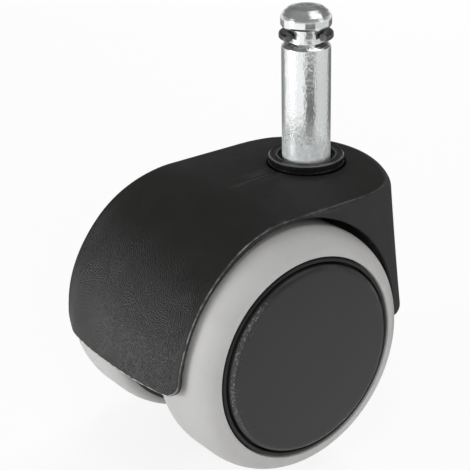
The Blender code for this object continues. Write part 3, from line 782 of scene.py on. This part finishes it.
def hood_nylon():
    """Black nylon: plain on top, grained at the back, with scratches, a pale line along the edges that is
    painted highlight and partly wear, scuffs on the crease that partly paint its highlight, and painted
    shade on the inside.
    """
    material, tree, shader = new_material("hood_nylon", grey(0.012), 0.36)
    shader.inputs["Specular IOR Level"].default_value = 0.7
    place = millimetres(tree)
    grain = attribute(tree, "grain")
    inside = attribute(tree, "inside")
    patches = noise(tree, place, 0.16, 3.0)
    fine = noise(tree, place, 2.6, 3.0, 0.6)
    colour = mixed(tree, remap(tree, patches, 0.3, 0.7), grey(0.0050, 0.14), grey(0.0070, 0.10))
    # Painted highlight: a pale line, broken into bits, along the hood's edges, partly standing for wear.
    wear_and_highlight_bits = remap(tree, noise(tree, place, 0.7, 4.0, 0.6), 0.38, 0.62, 0.15, 1.0)
    wear_and_highlight = maths(tree, "MULTIPLY", edge_line(tree), attribute(tree, "edge"))
    wear_and_highlight = maths(tree, "MULTIPLY", wear_and_highlight, wear_and_highlight_bits)
    colour = mixed(tree, wear_and_highlight, colour, grey(0.60, 0.04))
    # Scuffs: pale streaks along the crease, partly painted highlight of the crease.
    streaks = noise(tree, millimetres(tree, (0.35, 2.0, 2.0)), 1.5, 3.0, 0.65)
    scuffs_and_highlight = maths(tree, "MULTIPLY", attribute(tree, "scuff_and_highlight"), remap(tree, streaks, 0.54, 0.66))
    colour = mixed(tree, scuffs_and_highlight, colour, grey(0.075, 0.04))
    lines = noise(tree, millimetres(tree, (0.12, 1.5, 1.5)), 1.0, 2.0, 0.5, 0.3)
    scratches = maths(tree, "MULTIPLY", attribute(tree, "scratch"), remap(tree, lines, 0.50, 0.60))
    colour = mixed(tree, scratches, colour, grey(0.10, 0.03))
    specks = remap(tree, noise(tree, place, 1.9, 1.0), 0.79, 0.83)
    colour = mixed(tree, specks, colour, grey(0.05, 0.03))
    # Painted shade: the inside faces are made darker.
    colour = mixed(tree, inside, colour, grey(0.0022, 0.05))
    roughness = remap(tree, patches, 0.25, 0.75, 0.62, 0.70)
    polish = maths(tree, "MAXIMUM", maths(tree, "MULTIPLY", grain, 0.32), maths(tree, "MULTIPLY", wear_and_highlight, 0.2))
    roughness = maths(tree, "SUBTRACT", roughness, polish)
    ripples = leather_grain(tree, place)
    height = maths(tree, "MULTIPLY", maths(tree, "SUBTRACT", ripples, 0.5), grain)
    normal = bump(tree, fine, 0.012)
    normal = bump(tree, height, 0.42, normal)
    connect(tree, shader, colour, roughness, normal)
    return material


def hood_inside_painted_shade():
    """The hood's inside, painted darker than the outside as the shade that the wheels keep there, and
    duller.
    """
    material, tree, shader = new_material("hood_inside_painted_shade", grey(0.0022, 0.05), 0.7)
    shader.inputs["Specular IOR Level"].default_value = 0.1
    place = millimetres(tree)
    fine = noise(tree, place, 1.8, 3.0, 0.6)
    colour = mixed(tree, remap(tree, fine, 0.3, 0.7), grey(0.0018, 0.05), grey(0.0028, 0.05))
    roughness = remap(tree, fine, 0.3, 0.7, 0.62, 0.78)
    connect(tree, shader, colour, roughness, bump(tree, fine, 0.02))
    return material


def axle_radius(tree):
    """Distance from the wheels' axle, in millimetres."""
    place = millimetres(tree)
    centre = (AXLE[0], 0.0, AXLE[1])
    offset = add_node(tree, "ShaderNodeVectorMath", {0: place, 1: centre}, operation="SUBTRACT").outputs[0]
    across = (1.0, 0.0, 1.0)
    flat = add_node(tree, "ShaderNodeVectorMath", {0: offset, 1: across}, operation="MULTIPLY").outputs[0]
    return add_node(tree, "ShaderNodeVectorMath", {0: flat}, operation="LENGTH").outputs["Value"]


def satin_cap():
    """Smooth charcoal plastic, chipped along part of its edge."""
    material, tree, shader = new_material("cap_satin", grey(0.02), 0.40)
    shader.inputs["Specular IOR Level"].default_value = 0.4
    place = millimetres(tree)
    radius = axle_radius(tree)
    patches = noise(tree, place, 0.09, 3.0)
    fine = noise(tree, place, 3.2, 3.0, 0.6)
    colour = mixed(tree, remap(tree, patches, 0.3, 0.7), grey(0.014, 0.0), grey(0.018, 0.0))
    outer = remap(tree, radius, 19.1, 18.8)
    edge = maths(tree, "MULTIPLY", remap(tree, radius, 18.1, 18.5), outer)
    chips = remap(tree, noise(tree, place, 2.6, 4.0, 0.7), 0.54, 0.62, 0.12, 1.0)
    wear_and_highlight_mask = remap(tree, noise(tree, place, 0.07, 1.0), 0.40, 0.6)
    fringe = maths(tree, "MULTIPLY", remap(tree, radius, 16.9, 18.5), outer)
    strays = remap(tree, noise(tree, place, 3.2, 2.0, 0.6), 0.64, 0.69)
    strays = maths(tree, "MULTIPLY", fringe, strays)
    marks = maths(tree, "MAXIMUM", maths(tree, "MULTIPLY", edge, chips), strays)
    wear_and_highlight = maths(tree, "MULTIPLY", marks, wear_and_highlight_mask)
    colour = mixed(tree, wear_and_highlight, colour, grey(0.23, 0.03))
    specks = remap(tree, noise(tree, place, 0.9, 1.0), 0.80, 0.83)
    colour = mixed(tree, specks, colour, grey(0.05, 0.0))
    roughness = remap(tree, patches, 0.25, 0.75, 0.38, 0.46)
    connect(tree, shader, colour, roughness, bump(tree, fine, 0.006))
    return material


def rim_nylon():
    material, tree, shader = new_material("rim_nylon", grey(0.01), 0.42)
    shader.inputs["Specular IOR Level"].default_value = 0.3
    place = millimetres(tree)
    fine = noise(tree, place, 2.2, 3.0, 0.6)
    patches = noise(tree, place, 0.2, 3.0)
    colour = mixed(tree, remap(tree, patches, 0.3, 0.7), grey(0.007), grey(0.013))
    roughness = remap(tree, fine, 0.3, 0.7, 0.36, 0.5)
    connect(tree, shader, colour, roughness, bump(tree, fine, 0.01))
    return material


def bush_acetal():
    """Glossy black plastic, with pale rings painted on the collar's upper rim and lip as highlight."""
    material, tree, shader = new_material("bush_acetal", grey(0.008), 0.24)
    place = millimetres(tree)
    fine = noise(tree, place, 2.8, 3.0, 0.6)
    split = add_node(tree, "ShaderNodeSeparateXYZ", {"Vector": place}).outputs
    x_squared = maths(tree, "MULTIPLY", split["X"], split["X"])
    y_squared = maths(tree, "MULTIPLY", split["Y"], split["Y"])
    radius = maths(tree, "POWER", maths(tree, "ADD", x_squared, y_squared), 0.5)
    dust = remap(tree, noise(tree, place, 0.8, 4.0, 0.6), 0.50, 0.80)
    colour = mixed(tree, dust, grey(0.0045), grey(0.008, 0.02))
    # Painted highlight: pale rings at the collar's outer rim and inner lip, on its top only.
    from_rim = maths(tree, "ABSOLUTE", maths(tree, "SUBTRACT", radius, 7.52))
    rim = remap(tree, from_rim, 0.16, 0.02)
    from_lip = maths(tree, "ABSOLUTE", maths(tree, "SUBTRACT", radius, 6.0))
    lip = remap(tree, from_lip, 0.2, 0.02, 0.0, 0.6)
    upper = remap(tree, split["Z"], -0.4, -0.22)
    wear_and_highlight_mask = maths(tree, "MULTIPLY", maths(tree, "MAXIMUM", rim, lip), upper)
    colour = mixed(tree, wear_and_highlight_mask, colour, grey(0.11, 0.03))
    roughness = remap(tree, fine, 0.3, 0.7, 0.20, 0.28)
    connect(tree, shader, colour, roughness, bump(tree, fine, 0.003))
    return material


def soft_tyre():
    material, tree, shader = new_material("soft_tyre", grey(0.42, 0.02), 0.5)
    place = millimetres(tree)
    patches = noise(tree, place, 0.08, 4.0, 0.55)
    fine = noise(tree, place, 2.4, 3.0, 0.6)
    colour = mixed(tree, remap(tree, patches, 0.25, 0.75), grey(0.41, 0.035), grey(0.455, 0.02))
    dirt = remap(tree, noise(tree, place, 0.55, 4.0, 0.65, 0.4), 0.60, 0.80, 0.0, 0.35)
    colour = mixed(tree, dirt, colour, grey(0.28, 0.06))
    specks = remap(tree, noise(tree, place, 1.5, 1.0), 0.80, 0.83, 0.0, 0.7)
    colour = mixed(tree, specks, colour, grey(0.16, 0.05))
    roughness = remap(tree, patches, 0.25, 0.75, 0.44, 0.56)
    connect(tree, shader, colour, roughness, bump(tree, fine, 0.006))
    return material


def bright_zinc():
    """Bright plate with an orange-peel skin, duller on the head and near the collar."""
    material, tree, shader = new_material("bright_zinc", grey(0.9), 0.16, 1.0)
    place = millimetres(tree)
    upright = add_node(tree, "ShaderNodeSeparateXYZ", {"Vector": place}).outputs["Z"]
    rings = noise(tree, millimetres(tree, (0.06, 0.06, 4.0)), 1.0, 3.0, 0.6)
    peel = noise(tree, millimetres(tree, (1.0, 1.0, 0.55)), 2.6, 2.0, 0.5)
    clouds = noise(tree, place, 0.35, 4.0, 0.6)
    ragged = noise(tree, millimetres(tree, (1.0, 1.0, 0.5)), 1.5, 4.0, 0.6)
    ragged = maths(tree, "MULTIPLY", ragged, 8.0)
    low = remap(tree, maths(tree, "ADD", upright, ragged), 13.5, 3.5)
    head = remap(tree, upright, 27.6, 28.6)
    stains = remap(tree, noise(tree, place, 1.1, 4.0, 0.7), 0.38, 0.62)
    colour = mixed(tree, remap(tree, clouds, 0.3, 0.7), (0.88, 0.905, 0.91, 1.0), (0.94, 0.955, 0.955, 1.0))
    colour = mixed(tree, maths(tree, "MULTIPLY", low, stains), colour, (0.70, 0.74, 0.75, 1.0))
    roughness = remap(tree, clouds, 0.3, 0.7, 0.12, 0.16)
    roughness = maths(tree, "ADD", roughness, maths(tree, "MULTIPLY", low, 0.24))
    roughness = maths(tree, "ADD", roughness, maths(tree, "MULTIPLY", head, 0.07))
    haze = maths(tree, "ADD", maths(tree, "MULTIPLY", low, 0.62), maths(tree, "MULTIPLY", head, 0.09))
    tree.links.new(maths(tree, "SUBTRACT", 1.0, haze), shader.inputs["Metallic"])
    around = add_node(tree, "ShaderNodeTangent", direction_type="RADIAL", axis="Z").outputs[0]
    tree.links.new(around, shader.inputs["Tangent"])
    shader.inputs["Anisotropic"].default_value = 0.9
    shader.inputs["Anisotropic Rotation"].default_value = 0.25
    skin = maths(tree, "MULTIPLY", peel, remap(tree, upright, 26.4, 25.6))
    connect(tree, shader, colour, roughness, bump(tree, rings, 0.006, bump(tree, skin, 0.075)))
    return material


def spring_wire():
    material, tree, shader = new_material("spring_wire", grey(0.16), 0.34, 1.0)
    place = millimetres(tree)
    patches = noise(tree, place, 0.8, 4.0, 0.6)
    fine = noise(tree, place, 3.0, 3.0, 0.6)
    colour = mixed(tree, remap(tree, patches, 0.3, 0.7), grey(0.10, 0.02), grey(0.22, 0.0))
    roughness = remap(tree, fine, 0.3, 0.7, 0.28, 0.42)
    connect(tree, shader, colour, roughness, bump(tree, fine, 0.01))
    return material


SLOT_MATERIALS = {
    "zinc_steel": bright_zinc(),
    "spring_steel": spring_wire(),
    "hood_plastic": hood_nylon(),
    "bush_plastic": bush_acetal(),
    "wheel_plastic": rim_nylon(),
    "cap_plastic": satin_cap(),
    "grey_tyre": soft_tyre(),
}


def apply_materials():
    """Gives each piece the material of its slot."""
    for piece in bpy.context.scene.objects:
        if piece.type == "MESH" and "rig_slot" in piece:
            piece.data.materials.clear()
            piece.data.materials.append(SLOT_MATERIALS[piece["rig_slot"]])


def paint_hood_inside_dark(hood):
    """Gives the faces inside the hood their own material, which paints shade there."""
    mesh = hood.data
    inside = np.empty(len(mesh.vertices), np.float32)
    mesh.attributes["inside"].data.foreach_get("value", inside)
    corners = np.empty(len(mesh.loops), int)
    mesh.loops.foreach_get("vertex_index", corners)
    share = inside[corners].reshape(-1, 3).mean(axis=1)
    mesh.materials.append(hood_inside_painted_shade())
    mesh.polygons.foreach_set("material_index", (share > 0.5).astype(np.int32))


# Stage

FLOOR_WHITENESS = 0.87
FLOOR_SIZE = 6.0

# Sine of the height above the horizon, and the backdrop's grey level there
BACKDROP_LEVELS = ((0.0, 0.95), (0.035, 0.90), (0.07, 0.52), (0.20, 0.21), (0.42, 0.095), (1.0, 0.21))

# Places, in metres, that the lamps and the reflector face
LIT_POINT = Vector((-0.016, 0.0, -0.02))
HEAD_POINT = Vector((0.0, 0.0, 0.028))

# Name, place and width in metres, power in watts, and whether shiny pieces mirror it
LAMPS = (
    ("overhead", (-0.05, -0.07, 0.75), 0.45, 1.65, False),
    ("left_low", (-0.58, 0.26, 0.02), 0.4, 2.9, False),
    ("left_glint", (-0.62, 0.18, 0.03), 0.3, 0.75, True),
    ("back_right", (0.80, 0.50, 0.40), 0.5, 7.0, False),
    ("front", (-0.35, -0.90, 0.45), 0.5, 2.2, False),
    ("front_low", (-0.30, -0.75, -0.01), 0.3, 2.45, False),
    ("right", (0.55, -0.85, 0.30), 0.5, 0.4, True),
)

# Name, nearest and farthest reach from the stem, first and last direction in degrees, and grey level
CARDS = (
    ("dark_card", 127.0, 650.0, 226.0, 271.0, 0.12),
    ("grey_card", 127.0, 650.0, 271.0, 350.0, 0.75),
    ("right_card", 30.0, 650.0, 350.0, 415.0, 0.15),
    ("near_card", 30.0, 127.0, 328.0, 350.0, 0.15),
    ("back_card", 127.0, 650.0, 55.0, 116.0, 0.30),
)
CARD_STEPS = 24
CARD_LIFT = 0.5

# Name, place and radius in metres, and grey level
REFLECTOR = ("right_reflector", (0.19, -0.246, 0.54), 0.26, 0.75)

# The photo's camera: angles in degrees, lengths in millimetres, and its picture in pixels
CAMERA_AZIMUTH = -36.60
CAMERA_ELEVATION = 24.0
CAMERA_ROLL = -1.31
CAMERA_DISTANCE = 285.4
AIM_RIGHT = -14.773
AIM_UP = -16.25
SENSOR_WIDTH = 36.0
IMAGE_WIDTH = 470
FOCAL_PIXELS = 1411.2
FOCAL_LENGTH = SENSOR_WIDTH * FOCAL_PIXELS / IMAGE_WIDTH


def seen_directly(tree):
    """1 for rays from the camera, and for those that mirror or refract the view."""
    path = add_node(tree, "ShaderNodeLightPath")
    mirrored = maths(tree, "MAXIMUM", path.outputs["Is Camera Ray"], path.outputs["Is Glossy Ray"])
    return maths(tree, "MAXIMUM", mirrored, path.outputs["Is Transmission Ray"])


def make_floor():
    """A pale floor that shows as white and still keeps a faint shadow."""
    bpy.ops.mesh.primitive_plane_add(size=FLOOR_SIZE, location=(0.0, 0.0, FLOOR_Z * MM))
    floor = bpy.context.object
    floor.name = "floor"
    material, tree, shader = new_material("floor", grey(0.94), 0.7)
    glow = add_node(tree, "ShaderNodeEmission", {"Color": grey(1.0), "Strength": 1.0})
    share = maths(tree, "MULTIPLY", seen_directly(tree), FLOOR_WHITENESS)
    blend = add_node(tree, "ShaderNodeMixShader", {0: share, 1: shader.outputs[0], 2: glow.outputs[0]})
    tree.links.new(blend.outputs[0], tree.nodes["Material Output"].inputs["Surface"])
    floor.data.materials.append(material)


def only_mirrored(card):
    card.visible_camera = False
    card.visible_diffuse = False
    card.visible_shadow = False


def make_card(name, near, far, start, end, level):
    """A sector of a ring on the floor round the stem, only there for the shiny pieces to mirror."""
    turns = [math.radians(start + (end - start) * step / CARD_STEPS) for step in range(CARD_STEPS + 1)]
    height = (FLOOR_Z + CARD_LIFT) * MM
    verts = []
    for turn in turns:
        for reach in (near, far):
            verts.append((reach * math.cos(turn) * MM, reach * math.sin(turn) * MM, height))
    faces = [(2 * step, 2 * step + 1, 2 * step + 3, 2 * step + 2) for step in range(CARD_STEPS)]
    mesh = bpy.data.meshes.new(name)
    mesh.from_pydata(verts, [], faces)
    card = bpy.data.objects.new(name, mesh)
    bpy.context.scene.collection.objects.link(card)
    only_mirrored(card)
    material, _, _ = new_material(name, grey(level), 0.8)
    card.data.materials.append(material)


def make_reflector(name, place, radius, level):
    """A round studio reflector that faces the stem's head, only there for the shiny pieces to mirror."""
    bpy.ops.mesh.primitive_circle_add(vertices=48, radius=radius, fill_type="NGON")
    reflector = bpy.context.object
    reflector.name = name
    reflector.location = place
    reflector.rotation_euler = (HEAD_POINT - Vector(place)).to_track_quat("Z", "Y").to_euler()
    only_mirrored(reflector)
    material, _, shader = new_material(name, grey(level), 0.8)
    # The disc glows by itself and is no lamp: a painted reflection, seen only in the shiny pieces.
    shader.inputs["Emission Color"].default_value = grey(level)
    shader.inputs["Emission Strength"].default_value = 1.0
    reflector.data.materials.append(material)


def make_light(name, place, size, power, mirrored):
    """A round soft lamp that faces the caster."""
    light = bpy.data.lights.new(name, "AREA")
    light.shape = "DISK"
    light.size = size
    light.energy = power
    lamp = bpy.data.objects.new(name, light)
    lamp.location = place
    lamp.rotation_euler = (LIT_POINT - Vector(place)).to_track_quat("-Z", "Y").to_euler()
    lamp.visible_camera = False
    lamp.visible_glossy = mirrored
    bpy.context.scene.collection.objects.link(lamp)


def make_world():
    """A studio backdrop: near white at the floor's horizon, dark above it, and lighter overhead."""
    world = bpy.data.worlds.new("studio")
    bpy.context.scene.world = world
    world.use_nodes = True
    tree = world.node_tree
    direction = add_node(tree, "ShaderNodeTexCoord").outputs["Generated"]
    rise = add_node(tree, "ShaderNodeSeparateXYZ", {"Vector": direction}).outputs["Z"]
    fade = add_node(tree, "ShaderNodeValToRGB", {"Fac": rise})
    stops = fade.color_ramp.elements
    for position, _ in BACKDROP_LEVELS[1:-1]:
        stops.new(position)
    for stop, (position, level) in zip(stops, BACKDROP_LEVELS):
        stop.position = position
        stop.color = grey(level)
    tree.links.new(fade.outputs["Color"], tree.nodes["Background"].inputs["Color"])


def make_camera():
    """The camera that took the photo, found by fitting outlines."""
    azimuth = math.radians(CAMERA_AZIMUTH)
    elevation = math.radians(CAMERA_ELEVATION)
    roll = math.radians(CAMERA_ROLL)
    back = Vector(
        (
            math.sin(azimuth) * math.cos(elevation),
            -math.cos(azimuth) * math.cos(elevation),
            math.sin(elevation),
        )
    )
    right = Vector((math.cos(azimuth), math.sin(azimuth), 0.0))
    up = back.cross(right)
    target = AIM_RIGHT * right + AIM_UP * up
    place = target + CAMERA_DISTANCE * back
    rolled_right = right * math.cos(roll) + up * math.sin(roll)
    rolled_up = up * math.cos(roll) - right * math.sin(roll)
    data = bpy.data.cameras.new("camera")
    data.sensor_width = SENSOR_WIDTH
    data.lens = FOCAL_LENGTH
    data.clip_start = 0.01
    data.clip_end = 20.0
    camera = bpy.data.objects.new("camera", data)
    matrix = Matrix((rolled_right, rolled_up, back)).transposed().to_4x4()
    matrix.translation = place * MM
    camera.matrix_world = matrix
    bpy.context.scene.collection.objects.link(camera)
    bpy.context.scene.camera = camera


hood_piece = make_hood()
make_stem()
make_grip_ring()
make_collar()
make_stem_rings()
make_axle()
for wheel_side, wheel_sign in SIDES.items():
    make_wheel(wheel_side, wheel_sign)
apply_materials()
paint_hood_inside_dark(hood_piece)
make_floor()
for card_facts in CARDS:
    make_card(*card_facts)
make_reflector(*REFLECTOR)
for lamp_facts in LAMPS:
    make_light(*lamp_facts)
make_world()
make_camera()
bpy.context.scene.view_settings.view_transform = "Standard"
